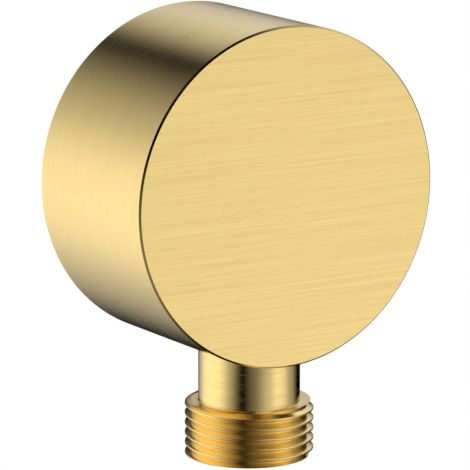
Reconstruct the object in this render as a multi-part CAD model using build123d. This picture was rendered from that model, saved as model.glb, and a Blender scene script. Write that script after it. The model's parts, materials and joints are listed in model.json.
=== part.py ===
from build123d import *
import os

# Wall outlet elbow for a shower hose: a turned brass drum that stands on the wall, with a hose nipple
# screwed into its underside. Millimetres, +Z up, +Y into the wall, the front faces -Y.
# The origin is the centre of the inlet's mouth, on the wall.

# Drum
drum_diameter = 55.0
drum_depth = 30.8
front_chamfer = 0.3
back_chamfer = 0.3

# Back of the drum: a rim on the wall, a turned recess, and the boss round the inlet
rim_width = 5.5
recess_width = 6.5
recess_depth = 8.0

# Inlet: internal G 1/2, modelled at its minor diameter
inlet_thread_diameter = 18.631
inlet_thread_length = 14.0
inlet_lead_in = 0.4

# Waterway between the inlet and the nipple
chamber_diameter = 15.0
front_wall = 5.6
passage_diameter = 11.0

# Nipple: its axis is vertical, this far in front of the wall
outlet_set_back = 19.2
neck_diameter = 16.5
neck_length = 7.8
neck_fillet = 0.1
socket_depth = 7.5
socket_clearance = 0.05

# Hose thread: external G 1/2, modelled at its major diameter, with its end bevelled to the root
hose_thread_diameter = 20.955
hose_thread_length = 9.0
hose_end_diameter = 18.6
hose_end_taper = 0.25

# Spigot thread that holds the nipple in the drum, modelled plain on both pieces
spigot_diameter = 14.0
spigot_length = 8.5
spigot_chamfer = 0.6
spigot_end_gap = 1.0

# Bore of the nipple and the hexagon socket that it is screwed in with
bore_diameter = 10.4
hexagon_across_flats = 12.0
hexagon_depth = 6.0

# Rubber ring in the nipple's gland
gland_depth = 1.3
gland_width = 2.2
gland_drop = 2.4
nipple_seal_width = 1.95
nipple_seal_bevel = 0.35

# Rubber ring in the back of the rim
wall_seal_inset = 1.7
wall_seal_width = 2.2
wall_seal_depth = 1.4
wall_seal_bevel = 0.35

# Places that several pieces share
drum_radius = drum_diameter / 2
wall_seal_outer_radius = drum_radius - wall_seal_inset
wall_seal_inner_radius = wall_seal_outer_radius - wall_seal_width
socket_radius = neck_diameter / 2 + socket_clearance
seat_z = socket_depth - drum_radius
shoulder_z = -drum_radius - neck_length
hose_end_z = shoulder_z - hose_thread_length
gland_radius = neck_diameter / 2 - gland_depth
gland_top_z = seat_z - gland_drop
nipple_axis = Location((0, -outlet_set_back, 0))

# The two turning set-ups: the plane an outline is drawn on and the axis it turns about
drum_lathe = (Plane.XY, Axis.Y)
nipple_lathe = (Plane.XZ, Axis.Z)


def turned(points, lathe, rounded=None, radius=0.0):
    """A solid turned from a closed outline, given as radius and place along the axis, with one corner rounded."""
    plane, axis = lathe
    with BuildPart() as piece:
        with BuildSketch(plane) as section:
            with BuildLine():
                Polyline(*points, close=True)
            make_face()
            if rounded:
                fillet(section.vertices().sort_by_distance(rounded)[0], radius)
        revolve(axis=axis)
    return piece.part


def drum_body():
    """The drum with its back, inlet and waterway, and the stepped hole that takes the nipple."""
    recess_outer_radius = drum_radius - rim_width
    boss_radius = recess_outer_radius - recess_width
    inlet_radius = inlet_thread_diameter / 2
    chamber_radius = chamber_diameter / 2
    chamber_end = -drum_depth + front_wall
    drum = turned(
        [
            (0, -drum_depth),
            (drum_radius - front_chamfer, -drum_depth),
            (drum_radius, -drum_depth + front_chamfer),
            (drum_radius, -back_chamfer),
            (drum_radius - back_chamfer, 0),
            (wall_seal_outer_radius, 0),
            (wall_seal_outer_radius, -wall_seal_depth),
            (wall_seal_inner_radius, -wall_seal_depth),
            (wall_seal_inner_radius, 0),
            (recess_outer_radius, 0),
            (recess_outer_radius, -recess_depth),
            (boss_radius, -recess_depth),
            (boss_radius, 0),
            (inlet_radius + inlet_lead_in, 0),
            (inlet_radius, -inlet_lead_in),
            (inlet_radius, -inlet_thread_length),
            (chamber_radius, -inlet_thread_length),
            (chamber_radius, chamber_end),
            (0, chamber_end),
        ],
        drum_lathe,
    )
    spigot_hole_radius = spigot_diameter / 2 + socket_clearance
    spigot_hole_end = seat_z + spigot_length + spigot_end_gap
    passage_radius = passage_diameter / 2
    nipple_hole = turned(
        [
            (0, -drum_diameter),
            (socket_radius, -drum_diameter),
            (socket_radius, seat_z),
            (spigot_hole_radius, seat_z),
            (spigot_hole_radius, spigot_hole_end),
            (passage_radius, spigot_hole_end),
            (passage_radius, 0),
            (0, 0),
        ],
        nipple_lathe,
    )
    return drum - nipple_axis * nipple_hole


def hose_nipple():
    """The nipple: spigot, gland, neck, shoulder and hose thread, bored through, with a hexagon in its mouth."""
    neck_radius = neck_diameter / 2
    thread_radius = hose_thread_diameter / 2
    spigot_radius = spigot_diameter / 2
    spigot_end_z = seat_z + spigot_length
    gland_low_z = gland_top_z - gland_width
    bore_radius = bore_diameter / 2
    shoulder_corner = (neck_radius, shoulder_z)
    nipple = turned(
        [
            (bore_radius, hose_end_z),
            (hose_end_diameter / 2, hose_end_z),
            (thread_radius, hose_end_z + hose_end_taper),
            (thread_radius, shoulder_z),
            shoulder_corner,
            (neck_radius, gland_low_z),
            (gland_radius, gland_low_z),
            (gland_radius, gland_top_z),
            (neck_radius, gland_top_z),
            (neck_radius, seat_z),
            (spigot_radius, seat_z),
            (spigot_radius, spigot_end_z - spigot_chamfer),
            (spigot_radius - spigot_chamfer, spigot_end_z),
            (bore_radius, spigot_end_z),
        ],
        nipple_lathe,
        rounded=shoulder_corner,
        radius=neck_fillet,
    )
    with BuildPart() as hexagon:
        with BuildSketch(Plane.XY.offset(hose_end_z)):
            RegularPolygon(hexagon_across_flats / 2, 6, major_radius=False)
        extrude(amount=hexagon_depth)
    return nipple_axis * (nipple - hexagon.part)


def seal_ring(inner_radius, outer_radius, low, high, bevel, lathe):
    """A squeezed rubber ring, turned from a rectangle with bevelled corners."""
    return turned(
        [
            (inner_radius + bevel, low),
            (outer_radius - bevel, low),
            (outer_radius, low + bevel),
            (outer_radius, high - bevel),
            (outer_radius - bevel, high),
            (inner_radius + bevel, high),
            (inner_radius, high - bevel),
            (inner_radius, low + bevel),
        ],
        lathe,
    )


def nipple_seal():
    """The ring that fills the gland from its floor to the wall of the socket, at the middle of its width."""
    middle_z = gland_top_z - gland_width / 2
    half_width = nipple_seal_width / 2
    ring = seal_ring(
        gland_radius,
        socket_radius,
        middle_z - half_width,
        middle_z + half_width,
        nipple_seal_bevel,
        nipple_lathe,
    )
    return nipple_axis * ring


def wall_seal():
    """The ring that fills the groove in the back of the rim, squeezed flush with the wall."""
    return seal_ring(
        wall_seal_inner_radius,
        wall_seal_outer_radius,
        -wall_seal_depth,
        0,
        wall_seal_bevel,
        drum_lathe,
    )


os.makedirs("parts", exist_ok=True)
for piece in (drum_body, hose_nipple, nipple_seal, wall_seal):
    export_step(piece(), f"parts/{piece.__name__}.step")
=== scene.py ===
import json
import math
import bmesh
import bpy
from mathutils import Matrix, Vector


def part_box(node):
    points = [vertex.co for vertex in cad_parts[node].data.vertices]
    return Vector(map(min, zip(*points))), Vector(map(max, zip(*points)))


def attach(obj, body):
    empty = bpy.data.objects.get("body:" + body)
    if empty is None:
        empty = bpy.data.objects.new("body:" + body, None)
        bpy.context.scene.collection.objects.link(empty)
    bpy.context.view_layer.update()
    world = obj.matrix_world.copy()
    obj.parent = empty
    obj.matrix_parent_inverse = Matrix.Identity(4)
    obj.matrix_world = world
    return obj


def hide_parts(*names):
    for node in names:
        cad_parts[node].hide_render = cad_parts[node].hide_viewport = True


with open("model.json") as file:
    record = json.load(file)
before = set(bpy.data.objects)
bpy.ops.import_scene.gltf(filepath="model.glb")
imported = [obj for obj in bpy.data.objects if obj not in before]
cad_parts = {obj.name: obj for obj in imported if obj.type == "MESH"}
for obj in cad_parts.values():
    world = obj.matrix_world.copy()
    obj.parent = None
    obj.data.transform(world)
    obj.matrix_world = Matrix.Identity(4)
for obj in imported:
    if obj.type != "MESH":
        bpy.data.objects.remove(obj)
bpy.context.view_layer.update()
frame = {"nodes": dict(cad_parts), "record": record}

# Wall outlet elbow in brushed gold: a drum on the wall and a hose nipple screwed into its underside.
# Metres, +Z up, +Y into the wall, the same frame as the CAD.
mm = 0.001
scene = bpy.context.scene
mounts = {mount["name"]: mount for mount in frame["record"]["mounts"]}
inletRadius = mounts["wall_inlet"]["dims"]["r_mm"] * mm
drumLow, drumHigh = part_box("drum_body")
nippleLow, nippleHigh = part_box("hose_nipple")

# Turning axes: a lathe's Z runs into the wall for the drum, and up for the nipple
drumAxis = Matrix.Rotation(math.radians(-90), 4, "X")
nippleAxis = Matrix.Translation((0, (nippleLow.y + nippleHigh.y) / 2, 0))


def bearing(azimuth, elevation):        # azimuth 0 is straight in front, 90 to the right
    around = math.radians(azimuth)
    up = math.radians(elevation)
    return Vector((math.sin(around) * math.cos(up), -math.cos(around) * math.cos(up), math.sin(up)))


def linearFromHex(code):        # the sRGB curve, with an alpha of 1
    parts = [int(code[i:i + 2], 16) / 255 for i in (1, 3, 5)]
    return [p / 12.92 if p <= 0.04045 else ((p + 0.055) / 1.055) ** 2.4 for p in parts] + [1.0]


def addNode(tree, kind, inputs=None, **settings):        # an input that is a socket is linked, others are set
    node = tree.nodes.new(kind)
    for name, value in settings.items():
        setattr(node, name, value)
    for name, value in (inputs or {}).items():
        if isinstance(value, bpy.types.NodeSocket):
            tree.links.new(value, node.inputs[name])
        else:
            node.inputs[name].default_value = value
    return node


def emptyMaterial(name):
    material = bpy.data.materials.new(name)
    material.use_nodes = True
    material.node_tree.nodes.clear()
    return material, material.node_tree


# Gold finishes. The grain is the size of one mark along x, y and z, and the relief its depth, in millimetres.
# Real brushing and turning lines are about 0.05 mm wide, too fine to show, so they are drawn 6 to 10 times
# as coarse. The unevenness is how far the roughness swings from line to line. The band and the streak are
# the spans of the noise, either side of its middle, over which the roughness and the tone change.
brushUvName = "brush"
gold = {"light": "#FEE195", "deep": "#FBDB8A", "lacquer": 0.45, "lacquerRoughness": 0.12}

# brushed straight across on a belt: a wide even sheen with faint level streaks
faceBrushing = {"grain": (30, 30, 0.42), "roughness": 0.28, "unevenness": 0.16, "band": 0.25,
                "anisotropy": 0.85, "streak": 0.2, "relief": 0.002}

# brushed as the drum turned: bands of light along the drum, with fine rings that show in the dark ones
sideBrushing = {"grain": (26, 0.3, 26), "roughness": 0.17, "unevenness": 0.68, "band": 0.2,
                "anisotropy": 0.8, "streak": 0.5, "relief": 0.02}

# turned to a satin: narrow upright bands of light, broken by fine rings
neckTurning = {"grain": (18, 18, 0.4), "roughness": 0.21, "unevenness": 0.55, "band": 0.25,
               "anisotropy": 0.65, "streak": 0.3, "relief": 0.003}

# cut by a thread tool: smooth flanks that mirror each other, so their gold looks deeper
threadCutting = {"grain": (6, 6, 0.5), "roughness": 0.22, "unevenness": 0.12, "band": 0.25,
                 "anisotropy": 0.5, "streak": 0.3, "relief": 0.0005}

# cut after the brushing: a smooth bright bevel, which shows as a fine dark line where no light meets it
edgeCutting = {"grain": (8, 8, 8), "roughness": 0.16, "unevenness": 0.12, "band": 0.25,
               "anisotropy": 0.3, "streak": 0.3, "relief": 0.0002}


def goldFinish(name, finish):
    # brass with a gold coating under clear lacquer: the lines left by the belt or the lathe spread each
    # highlight across themselves, and the lacquer whitens the gold at a glancing angle
    material, tree = emptyMaterial(name)
    place = addNode(tree, "ShaderNodeTexCoord")
    fine = addNode(tree, "ShaderNodeMapping", {
        "Vector": place.outputs["Object"], "Scale": [1 / (size * mm) for size in finish["grain"]]})
    lines = addNode(tree, "ShaderNodeTexNoise", {
        "Vector": fine.outputs["Vector"], "Scale": 1.0, "Detail": 3.0, "Roughness": 0.65})
    tone = addNode(tree, "ShaderNodeMapRange", {
        "Value": lines.outputs["Fac"],
        "From Min": 0.5 - finish["streak"], "From Max": 0.5 + finish["streak"]})
    colour = addNode(tree, "ShaderNodeMix", {
        "Factor": tone.outputs["Result"], "A": linearFromHex(gold["deep"]),
        "B": linearFromHex(gold["light"])}, data_type="RGBA")
    shine = addNode(tree, "ShaderNodeMapRange", {
        "Value": lines.outputs["Fac"],
        "From Min": 0.5 - finish["band"], "From Max": 0.5 + finish["band"],
        "To Min": finish["roughness"] * (1 + finish["unevenness"]),
        "To Max": finish["roughness"] * (1 - finish["unevenness"])})
    relief = addNode(tree, "ShaderNodeBump", {
        "Height": lines.outputs["Fac"], "Strength": 1.0, "Distance": finish["relief"] * mm})
    across = addNode(tree, "ShaderNodeTangent", direction_type="UV_MAP", uv_map=brushUvName)
    shader = addNode(tree, "ShaderNodeBsdfPrincipled", {
        "Base Color": colour.outputs["Result"], "Metallic": 1.0, "Roughness": shine.outputs["Result"],
        "Anisotropic": finish["anisotropy"], "Tangent": across.outputs["Tangent"],
        "Normal": relief.outputs["Normal"],
        "Coat Weight": gold["lacquer"], "Coat Roughness": gold["lacquerRoughness"]})
    addNode(tree, "ShaderNodeOutputMaterial", {"Surface": shader.outputs["BSDF"]})
    return material


# Feed marks drawn coarser than the real 0.1 mm, which would not show
machining = {"grain": (9, 0.4, 9), "deep": "#B8933F", "light": "#DDBB6A", "roughness": 0.38, "relief": 0.004}


def machinedBrass(name):
    # brass as it leaves the tool, uncoated: yellower and duller than the gold, with feed marks
    material, tree = emptyMaterial(name)
    place = addNode(tree, "ShaderNodeTexCoord")
    feed = addNode(tree, "ShaderNodeMapping", {
        "Vector": place.outputs["Object"], "Scale": [1 / (size * mm) for size in machining["grain"]]})
    marks = addNode(tree, "ShaderNodeTexNoise", {
        "Vector": feed.outputs["Vector"], "Scale": 1.0, "Detail": 2.0, "Roughness": 0.6})
    colour = addNode(tree, "ShaderNodeMix", {
        "Factor": marks.outputs["Fac"], "A": linearFromHex(machining["deep"]),
        "B": linearFromHex(machining["light"])}, data_type="RGBA")
    relief = addNode(tree, "ShaderNodeBump", {
        "Height": marks.outputs["Fac"], "Strength": 1.0, "Distance": machining["relief"] * mm})
    shader = addNode(tree, "ShaderNodeBsdfPrincipled", {
        "Base Color": colour.outputs["Result"], "Metallic": 1.0, "Roughness": machining["roughness"],
        "Normal": relief.outputs["Normal"]})
    addNode(tree, "ShaderNodeOutputMaterial", {"Surface": shader.outputs["BSDF"]})
    return material


# A patch of bloom is about 3 mm across; the rubber is duller and greyer where it has bloomed
moulding = {"bloom": 3, "black": "#161617", "grey": "#2C2C2E", "cleanRoughness": 0.45, "bloomRoughness": 0.68}


def mouldedRubber(name):
    # black EPDM from a polished mould: a soft grey sheen, with a trace of bloom
    material, tree = emptyMaterial(name)
    place = addNode(tree, "ShaderNodeTexCoord")
    bloom = addNode(tree, "ShaderNodeTexNoise", {
        "Vector": place.outputs["Object"], "Scale": 1 / (moulding["bloom"] * mm), "Detail": 4.0})
    colour = addNode(tree, "ShaderNodeMix", {
        "Factor": bloom.outputs["Fac"], "A": linearFromHex(moulding["black"]),
        "B": linearFromHex(moulding["grey"])}, data_type="RGBA")
    shine = addNode(tree, "ShaderNodeMapRange", {
        "Value": bloom.outputs["Fac"], "To Min": moulding["cleanRoughness"],
        "To Max": moulding["bloomRoughness"]})
    shader = addNode(tree, "ShaderNodeBsdfPrincipled", {
        "Base Color": colour.outputs["Result"], "Roughness": shine.outputs["Result"]})
    addNode(tree, "ShaderNodeOutputMaterial", {"Surface": shader.outputs["BSDF"]})
    return material


faceGold = goldFinish("goldBrassBrushedStraight", faceBrushing)
sideGold = goldFinish("goldBrassBrushedRound", sideBrushing)
nippleGold = goldFinish("goldBrassTurnedSatin", neckTurning)
threadGold = goldFinish("goldBrassCutThread", threadCutting)
edgeGold = goldFinish("goldBrassCutEdge", edgeCutting)
bareBrass = machinedBrass("brassMachined")
sealRubber = mouldedRubber("rubberMoulded")
print("materials made")


# Turned blanks and what is done to them
def newPiece(name, mesh):
    piece = bpy.data.objects.new(name, mesh)
    scene.collection.objects.link(piece)
    return piece


def turnBlank(name, outline, axis, segments, closed=False):
    # each corner is radius, height and the material of the stretch that starts there
    form = bmesh.new()
    turns = [2 * math.pi * k / segments for k in range(segments)]
    rings = []
    for radius, height, _ in outline:
        spots = turns if radius > 0 else turns[:1]        # on the axis a ring is one point
        rings.append([form.verts.new(axis @ Vector((radius * math.cos(t), radius * math.sin(t), height)))
                      for t in spots])
    skins = []
    pairs = list(zip(rings, rings[1:] + rings[:1]))
    for (ringA, ringB), (_, _, skin) in zip(pairs if closed else pairs[:-1], outline):
        if skin not in skins:
            skins.append(skin)
        for k in range(segments):
            m = (k + 1) % segments
            corners = [ringA[k % len(ringA)], ringA[m % len(ringA)],
                       ringB[m % len(ringB)], ringB[k % len(ringB)]]
            face = form.faces.new(list(dict.fromkeys(corners)))
            face.material_index = skins.index(skin)
    bmesh.ops.recalc_face_normals(form, faces=form.faces)
    mesh = bpy.data.meshes.new(name)
    form.to_mesh(mesh)
    form.free()
    for skin in skins:
        mesh.materials.append(skin)
    return newPiece(name, mesh)


def settle(piece):        # swaps the mesh for its modified form and drops the modifiers
    graph = bpy.context.evaluated_depsgraph_get()
    mesh = bpy.data.meshes.new_from_object(piece.evaluated_get(graph), depsgraph=graph)
    piece.modifiers.clear()
    old = piece.data
    piece.data = mesh
    bpy.data.meshes.remove(old)


def combine(piece, tool, operation):        # uses up the tool
    step = piece.modifiers.new(operation, "BOOLEAN")
    step.operation = operation
    step.solver = "EXACT"
    step.material_mode = "TRANSFER"
    step.object = tool
    settle(piece)
    bpy.data.objects.remove(tool)


def roundCorner(centreRadius, centreHeight, radius, start, end, steps):        # angles in degrees
    arc = []
    for k in range(steps + 1):
        a = math.radians(start + (end - start) * k / steps)
        arc.append((centreRadius + radius * math.cos(a), centreHeight + radius * math.sin(a)))
    return arc


# How a face is told apart for the brushing, by its normal along the lathe, and where shading breaks
surface = {"frontSlope": -0.9, "flatSlope": 0.8, "sharpAngle": math.radians(30)}


def layBrushUv(mesh, axis, straightFront):
    # u runs across the brushing lines and v along them, both in metres
    toLathe = axis.inverted()
    layer = mesh.uv_layers.get(brushUvName) or mesh.uv_layers.new(name=brushUvName)
    for face in mesh.polygons:
        slope = (toLathe.to_3x3() @ face.normal).z
        radius = (toLathe @ face.center).xy.length
        firstTurn = None
        for corner in face.loop_indices:
            spot = mesh.vertices[mesh.loops[corner].vertex_index].co
            onLathe = toLathe @ spot
            turn = math.atan2(onLathe.y, onLathe.x)
            firstTurn = turn if firstTurn is None else firstTurn
            turn = firstTurn + math.remainder(turn - firstTurn, 2 * math.pi)        # no jump at half a turn
            if straightFront and slope < surface["frontSlope"]:
                layer.data[corner].uv = (spot.z, spot.x)
            elif abs(slope) > surface["flatSlope"]:
                layer.data[corner].uv = (onLathe.xy.length, turn * radius)
            else:
                layer.data[corner].uv = (onLathe.z, turn * radius)


def finishSurface(mesh, axis, straightFront=False):
    mesh.shade_smooth()
    mesh.set_sharp_from_angle(angle=surface["sharpAngle"])
    layBrushUv(mesh, axis, straightFront)


# Thread ridge: a V with a rounded crest, swept along a helix, tapered at its low end, square at its high end
def threadTree():
    tree = bpy.data.node_groups.new("threadRidge", "GeometryNodeTree")
    sockets = {}
    for name, kind in (("Core Radius", "Float"), ("Crest Radius", "Float"), ("Pitch", "Float"),
                       ("Crest Width", "Float"), ("Root Width", "Float"), ("Crest Rounding", "Float"),
                       ("Low End", "Float"), ("High End", "Float"), ("End Radius", "Float"),
                       ("End Taper", "Float"), ("Start Angle", "Float"),
                       ("Points Per Turn", "Int"), ("Left Hand", "Bool"), ("Material", "Material")):
        socket = tree.interface.new_socket(name, in_out="INPUT", socket_type="NodeSocket" + kind)
        sockets[name] = socket.identifier
    tree.interface.new_socket("Geometry", in_out="OUTPUT", socket_type="NodeSocketGeometry")
    given = addNode(tree, "NodeGroupInput").outputs

    def work(operation, first, second):
        return addNode(tree, "ShaderNodeMath", {0: first, 1: second}, operation=operation).outputs[0]

    # the helix, with one spare turn past each end
    depth = work("SUBTRACT", given["Crest Radius"], given["Core Radius"])
    middle = work("SUBTRACT", given["Crest Radius"], work("MULTIPLY", depth, 0.5))
    length = work("SUBTRACT", given["High End"], given["Low End"])
    turns = work("ADD", work("DIVIDE", length, given["Pitch"]), 2.0)
    helix = addNode(tree, "GeometryNodeCurveSpiral", {
        "Resolution": given["Points Per Turn"], "Rotations": turns, "Start Radius": middle,
        "End Radius": middle, "Height": work("MULTIPLY", turns, given["Pitch"])})
    upright = addNode(tree, "GeometryNodeSetCurveNormal", {"Curve": helix.outputs["Curve"]}, mode="Z_UP")

    # the V, rounded at its crest only and turned so that the crest points away from the axis
    section = addNode(tree, "GeometryNodeCurvePrimitiveQuadrilateral", {
        "Height": depth, "Bottom Width": given["Root Width"], "Top Width": given["Crest Width"],
        "Offset": 0.0}, mode="TRAPEZOID")
    corner = addNode(tree, "ShaderNodeSeparateXYZ", {
        "Vector": addNode(tree, "GeometryNodeInputPosition").outputs["Position"]})
    onCrest = work("GREATER_THAN", corner.outputs["Y"], 0.0)
    rounded = addNode(tree, "GeometryNodeFilletCurve", {
        "Curve": section.outputs["Curve"], "Count": 4,
        "Radius": work("MULTIPLY", onCrest, given["Crest Rounding"]), "Limit Radius": True}, mode="POLY")
    outwards = addNode(tree, "GeometryNodeTransform", {
        "Geometry": rounded.outputs["Curve"], "Rotation": (0, 0, math.radians(90))})
    ridge = addNode(tree, "GeometryNodeCurveToMesh", {
        "Curve": upright.outputs["Curve"], "Profile Curve": outwards.outputs["Geometry"], "Fill Caps": True})

    # Blender's spiral is left-handed, so a right-handed one is mirrored and its faces are turned back
    start = addNode(tree, "ShaderNodeCombineXYZ", {"Z": work("SUBTRACT", given["Low End"], given["Pitch"])})
    spun = addNode(tree, "ShaderNodeCombineXYZ", {"Z": given["Start Angle"]})
    rightHand = addNode(tree, "FunctionNodeBooleanMath", {0: given["Left Hand"]}, operation="NOT").outputs[0]
    hand = work("SUBTRACT", work("MULTIPLY", given["Left Hand"], 2.0), 1.0)
    mirror = addNode(tree, "ShaderNodeCombineXYZ", {"X": 1.0, "Y": hand, "Z": 1.0})
    seated = addNode(tree, "GeometryNodeTransform", {
        "Geometry": ridge.outputs["Mesh"], "Translation": start.outputs["Vector"],
        "Rotation": spun.outputs["Vector"], "Scale": mirror.outputs["Vector"]})
    outside = addNode(tree, "GeometryNodeFlipFaces", {
        "Mesh": seated.outputs["Geometry"], "Selection": rightHand})

    # a cone from the tapered end to the square one keeps what lies inside it
    rise = work("SUBTRACT", given["Crest Radius"], given["End Radius"])
    widening = work("DIVIDE", work("MULTIPLY", rise, length), given["End Taper"])
    cone = addNode(tree, "GeometryNodeMeshCone", {
        "Vertices": given["Points Per Turn"], "Radius Bottom": given["End Radius"],
        "Radius Top": work("ADD", given["End Radius"], widening), "Depth": length})
    foot = addNode(tree, "ShaderNodeCombineXYZ", {"Z": given["Low End"]})
    window = addNode(tree, "GeometryNodeTransform", {
        "Geometry": cone.outputs["Mesh"], "Translation": foot.outputs["Vector"]})
    trimmed = addNode(tree, "GeometryNodeMeshBoolean", operation="INTERSECT", solver="EXACT")
    tree.links.new(outside.outputs["Mesh"], trimmed.inputs["Mesh 2"])
    tree.links.new(window.outputs["Geometry"], trimmed.inputs["Mesh 2"])
    real = addNode(tree, "GeometryNodeRealizeInstances", {"Geometry": trimmed.outputs["Mesh"]})
    skin = addNode(tree, "GeometryNodeSetMaterial", {
        "Geometry": real.outputs["Geometry"], "Material": given["Material"]})
    addNode(tree, "NodeGroupOutput", {"Geometry": skin.outputs["Geometry"]})
    return tree, sockets


ridgeTree, ridgeSockets = threadTree()
rootOverlap = 0.05 * mm         # a ridge reaches this far past the surface it stands on, so that the two join
crestInset = 0.02 * mm          # the hose thread's crests stay this far inside the CAD
endInset = 0.004 * mm           # and its ends this far, so that no two faces coincide


def threadRidge(name, sizes, axis):
    ridge = newPiece(name, bpy.data.meshes.new(name))
    step = ridge.modifiers.new("thread", "NODES")
    step.node_group = ridgeTree
    for socket, value in sizes.items():
        step[ridgeSockets[socket]] = value
    settle(ridge)
    ridge.data.transform(axis)
    return ridge


# Drum; the top of the spigot's hole counts from the inlet's axis
drum = {
    "frontChamfer": 0.3 * mm,
    "backChamfer": 0.3 * mm,
    "rimWidth": 5.5 * mm,
    "recessWidth": 6.5 * mm,
    "recessDepth": 8.0 * mm,
    "sealInset": 1.7 * mm,
    "sealWidth": 2.2 * mm,
    "sealDepth": 1.4 * mm,
    "inletLeadIn": 0.4 * mm,
    "inletLength": 14.0 * mm,
    "chamberRadius": 7.5 * mm,
    "frontWall": 5.6 * mm,
    "socketRadius": 8.3 * mm,
    "seatDepth": 7.5 * mm,
    "spigotHoleRadius": 7.05 * mm,
    "spigotHoleTop": -10.5 * mm,
    "passageRadius": 5.5 * mm,
    "segments": 288,
    "holeSegments": 128,
}

# Cut into the inlet's wall, so the ridge's crest is the bottom of this thread
inletThread = {
    "Core Radius": inletRadius - rootOverlap,
    "Crest Radius": 10.45 * mm,
    "Pitch": 1.814 * mm,
    "Crest Width": 0.38 * mm,
    "Root Width": 1.56 * mm,
    "Crest Rounding": 0.16 * mm,
    "Low End": -11.6 * mm,
    "High End": 1.0 * mm,
    "End Radius": 9.5 * mm,
    "End Taper": 0.9 * mm,
    "Start Angle": 0.0,
    "Points Per Turn": 72,
    "Left Hand": False,
    "Material": bareBrass,
}


def makeDrum():
    radius = drumHigh.x
    front = drumLow.y
    sealOuter = radius - drum["sealInset"]
    sealInner = sealOuter - drum["sealWidth"]
    recessOuter = radius - drum["rimWidth"]
    boss = recessOuter - drum["recessWidth"]
    chamberEnd = front + drum["frontWall"]
    piece = turnBlank("drumBody", [
        (0, front, faceGold),
        (radius - drum["frontChamfer"], front, edgeGold),
        (radius, front + drum["frontChamfer"], sideGold),
        (radius, -drum["backChamfer"], edgeGold),
        (radius - drum["backChamfer"], 0, bareBrass),
        (sealOuter, 0, bareBrass),
        (sealOuter, -drum["sealDepth"], bareBrass),
        (sealInner, -drum["sealDepth"], bareBrass),
        (sealInner, 0, bareBrass),
        (recessOuter, 0, bareBrass),
        (recessOuter, -drum["recessDepth"], bareBrass),
        (boss, -drum["recessDepth"], bareBrass),
        (boss, 0, bareBrass),
        (inletRadius + drum["inletLeadIn"], 0, bareBrass),
        (inletRadius, -drum["inletLeadIn"], bareBrass),
        (inletRadius, -drum["inletLength"], bareBrass),
        (drum["chamberRadius"], -drum["inletLength"], bareBrass),
        (drum["chamberRadius"], chamberEnd, bareBrass),
        (0, chamberEnd, bareBrass),
    ], drumAxis, drum["segments"])
    seat = -radius + drum["seatDepth"]
    below = -2 * radius        # well clear of the drum
    hole = turnBlank("nippleHole", [
        (0, below, bareBrass),
        (drum["socketRadius"], below, bareBrass),
        (drum["socketRadius"], seat, bareBrass),
        (drum["spigotHoleRadius"], seat, bareBrass),
        (drum["spigotHoleRadius"], drum["spigotHoleTop"], bareBrass),
        (drum["passageRadius"], drum["spigotHoleTop"], bareBrass),
        (drum["passageRadius"], 0, bareBrass),
        (0, 0, bareBrass),
    ], nippleAxis, drum["holeSegments"])
    combine(piece, hole, "DIFFERENCE")
    combine(piece, threadRidge("inletThread", inletThread, drumAxis), "DIFFERENCE")
    finishSurface(piece.data, drumAxis, straightFront=True)
    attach(piece, "root")
    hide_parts("drum_body")
    return piece


# Hose nipple; heights count from the inlet's axis
nipple = {
    "neckRadius": 8.25 * mm,
    "shoulder": -35.3 * mm,
    "neckFillet": 0.1 * mm,
    "filletSteps": 4,
    "seat": -20.0 * mm,
    "spigotRadius": 7.0 * mm,
    "spigotChamfer": 0.6 * mm,
    "glandRadius": 6.95 * mm,
    "glandTop": -22.4 * mm,
    "glandWidth": 2.2 * mm,
    "boreRadius": 5.2 * mm,
    "coreRadius": 9.28 * mm,
    "keySides": 6,
    "keyAcrossFlats": 12.0 * mm,
    "keyDepth": 6.0 * mm,
    "keyOvershoot": 1.0 * mm,
    "segments": 192,
}

# The pitch, the hand and the start follow the crests in the photograph
hoseThread = {
    "Core Radius": nipple["coreRadius"] - rootOverlap,
    "Crest Radius": nippleHigh.x - crestInset,
    "Pitch": 1.635 * mm,
    "Crest Width": 0.26 * mm,
    "Root Width": 1.61 * mm,
    "Crest Rounding": 0.16 * mm,
    "Low End": nippleLow.z + endInset,
    "High End": nipple["shoulder"] - endInset,
    "End Radius": 9.3 * mm,
    "End Taper": 0.25 * mm,
    "Start Angle": math.radians(235.0),
    "Points Per Turn": 160,
    "Left Hand": True,
    "Material": threadGold,
}


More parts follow.
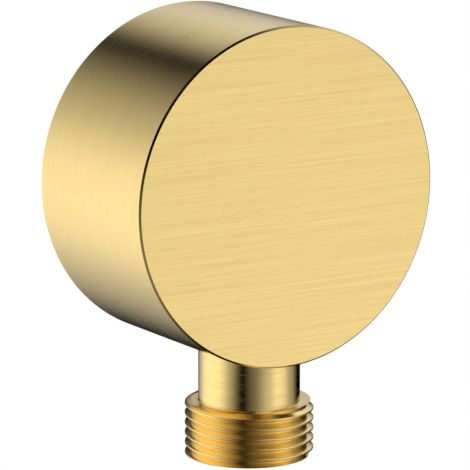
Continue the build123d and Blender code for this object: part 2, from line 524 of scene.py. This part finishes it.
def makeNipple():
    neck = nipple["neckRadius"]
    bore = nipple["boreRadius"]
    shoulder = nipple["shoulder"]
    fillet = nipple["neckFillet"]
    gland = nipple["glandTop"]
    foot = roundCorner(neck + fillet, shoulder + fillet, fillet, 270, 180, nipple["filletSteps"])
    piece = turnBlank("hoseNipple", [
        (bore, nippleLow.z, nippleGold),
        (nipple["coreRadius"], nippleLow.z, threadGold),
        (nipple["coreRadius"], shoulder, nippleGold),
        *[(radius, height, nippleGold) for radius, height in foot],
        (neck, gland - nipple["glandWidth"], bareBrass),
        (nipple["glandRadius"], gland - nipple["glandWidth"], bareBrass),
        (nipple["glandRadius"], gland, bareBrass),
        (neck, gland, bareBrass),
        (neck, nipple["seat"], bareBrass),
        (nipple["spigotRadius"], nipple["seat"], bareBrass),
        (nipple["spigotRadius"], nippleHigh.z - nipple["spigotChamfer"], bareBrass),
        (nipple["spigotRadius"] - nipple["spigotChamfer"], nippleHigh.z, bareBrass),
        (bore, nippleHigh.z, bareBrass),
    ], nippleAxis, nipple["segments"], closed=True)
    keyRadius = nipple["keyAcrossFlats"] / 2 / math.cos(math.pi / nipple["keySides"])
    keyTop = nippleLow.z + nipple["keyDepth"]
    keyLow = nippleLow.z - nipple["keyOvershoot"]
    key = turnBlank("hexSocket", [
        (0, keyLow, bareBrass),
        (keyRadius, keyLow, bareBrass),
        (keyRadius, keyTop, bareBrass),
        (0, keyTop, bareBrass),
    ], nippleAxis, nipple["keySides"])
    combine(piece, threadRidge("hoseThread", hoseThread, nippleAxis), "UNION")
    combine(piece, key, "DIFFERENCE")
    finishSurface(piece.data, nippleAxis)
    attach(piece, "root")
    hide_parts("hose_nipple")
    return piece


drumPiece = makeDrum()
print("drum made,", len(drumPiece.data.polygons), "faces")
nipplePiece = makeNipple()
print("nipple made,", len(nipplePiece.data.polygons), "faces")
for nodeName in ("nipple_seal", "wall_seal"):
    frame["nodes"][nodeName].material_slots[0].material = sealRubber
print("seals dressed")

# Round soft lights on the inside of a dark tent; edge and core are angles from a light's middle to where it
# has faded out and to where it starts to fade
tent = {
    "radius": 0.8,
    "centre": (0, -0.015, -0.01),
    "segments": 64,
    "shade": 0.0,        # glow of the cloth between the lights
    "lights": [
        # left rear: the drum's side and the left of the nipple, with a brighter middle
        {"azimuth": 234, "elevation": -17, "edge": 77, "core": 0, "strength": 0.80},
        {"azimuth": 236, "elevation": -16, "edge": 46, "core": 3, "strength": 0.34},
        # right rear, high: the top of the drum
        {"azimuth": 132, "elevation": 35, "edge": 41, "core": 0, "strength": 0.88},
        # right front: the front face and the right of the nipple
        {"azimuth": 43, "elevation": 7, "edge": 65, "core": 3, "strength": 0.54},
        {"azimuth": 41, "elevation": -18, "edge": 27, "core": 0, "strength": 0.41},
        {"azimuth": 2, "elevation": -15, "edge": 48, "core": 8, "strength": 0.21},
        {"azimuth": 62, "elevation": -54, "edge": 23, "core": 7, "strength": 0.81},
        # high on the right, the left and in front: what other views see
        {"azimuth": 95, "elevation": 50, "edge": 32, "core": 5, "strength": 0.30},
        {"azimuth": 262, "elevation": 58, "edge": 30, "core": 5, "strength": 0.45},
        {"azimuth": 3, "elevation": 33, "edge": 24, "core": 4, "strength": 0.45},
    ],
}


def makeTent():
    material, tree = emptyMaterial("tentCloth")
    place = addNode(tree, "ShaderNodeTexCoord")
    outwards = addNode(tree, "ShaderNodeVectorMath", {0: place.outputs["Object"]}, operation="NORMALIZE")
    total = tent["shade"]
    for light in tent["lights"]:
        facing = addNode(tree, "ShaderNodeVectorMath", {
            0: outwards.outputs["Vector"], 1: bearing(light["azimuth"], light["elevation"])},
            operation="DOT_PRODUCT")
        pool = addNode(tree, "ShaderNodeMapRange", {
            "Value": facing.outputs["Value"], "From Min": math.cos(math.radians(light["edge"])),
            "From Max": math.cos(math.radians(light["core"])), "To Max": light["strength"]},
            interpolation_type="SMOOTHSTEP")
        both = addNode(tree, "ShaderNodeMath", {0: total, 1: pool.outputs["Result"]}, operation="ADD")
        total = both.outputs[0]
    shader = addNode(tree, "ShaderNodeEmission", {"Strength": total})
    addNode(tree, "ShaderNodeOutputMaterial", {"Surface": shader.outputs["Emission"]})
    material.cycles.emission_sampling = "NONE"
    form = bmesh.new()
    bmesh.ops.create_uvsphere(
        form, u_segments=tent["segments"], v_segments=tent["segments"] // 2, radius=tent["radius"])
    mesh = bpy.data.meshes.new("lightTent")
    form.to_mesh(mesh)
    form.free()
    mesh.materials.append(material)
    piece = newPiece("lightTent", mesh)
    piece.location = tent["centre"]
    # the camera and matt surfaces look past the cloth to the white room; metal mirrors the cloth
    piece.visible_camera = False
    piece.visible_diffuse = False
    piece.visible_shadow = False


# Paper floor, well below the part and out of the picture; its fibres lie in clouds of about 2 mm
floor = {"radius": 0.5, "drop": 0.9, "segments": 96,
         "cloud": 2, "deep": "#F1F0EE", "light": "#F7F6F4", "roughness": 0.9}


def makeFloor():
    # matt paper: white without a sheen, faintly cloudy
    material, tree = emptyMaterial("paperMatt")
    place = addNode(tree, "ShaderNodeTexCoord")
    pulp = addNode(tree, "ShaderNodeTexNoise", {
        "Vector": place.outputs["Object"], "Scale": 1 / (floor["cloud"] * mm), "Detail": 2.0})
    colour = addNode(tree, "ShaderNodeMix", {
        "Factor": pulp.outputs["Fac"], "A": linearFromHex(floor["deep"]), "B": linearFromHex(floor["light"])},
        data_type="RGBA")
    shader = addNode(tree, "ShaderNodeBsdfPrincipled", {
        "Base Color": colour.outputs["Result"], "Roughness": floor["roughness"]})
    addNode(tree, "ShaderNodeOutputMaterial", {"Surface": shader.outputs["BSDF"]})
    form = bmesh.new()
    bmesh.ops.create_circle(form, cap_ends=True, segments=floor["segments"], radius=floor["radius"])
    mesh = bpy.data.meshes.new("floor")
    form.to_mesh(mesh)
    form.free()
    mesh.materials.append(material)
    piece = newPiece("floor", mesh)
    piece.location = (0, 0, -floor["drop"])


def whiteRoom():
    world = bpy.data.worlds.new("whiteRoom")
    world.use_nodes = True
    tree = world.node_tree
    tree.nodes.clear()
    white = addNode(tree, "ShaderNodeBackground", {"Color": linearFromHex("#FFFFFF"), "Strength": 1.0})
    addNode(tree, "ShaderNodeOutputWorld", {"Surface": white.outputs["Background"]})
    world.cycles.sampling_method = "NONE"
    scene.world = world


makeTent()
makeFloor()
whiteRoom()
scene.view_settings.view_transform = "Standard"
print("studio made")

# Camera, from the outline in the photograph
shot = {
    "azimuth": -32.442,
    "elevation": 12.068,
    "distance": 620.58 * mm,
    "aim": Vector((-0.992, -16.497, -8.399)) * mm,
    "lens": 294.7,
    "sensor": 36.0,
    "clipStart": 0.01,
    "clipEnd": 20.0,
}
camera = bpy.data.objects.new("shotCamera", bpy.data.cameras.new("shotCamera"))
scene.collection.objects.link(camera)
back = bearing(shot["azimuth"], shot["elevation"])
camera.location = shot["aim"] + back * shot["distance"]
camera.rotation_euler = (-back).to_track_quat("-Z", "Y").to_euler()
camera.data.lens = shot["lens"]
camera.data.sensor_width = shot["sensor"]
camera.data.clip_start = shot["clipStart"]
camera.data.clip_end = shot["clipEnd"]
scene.camera = camera
print("camera placed")
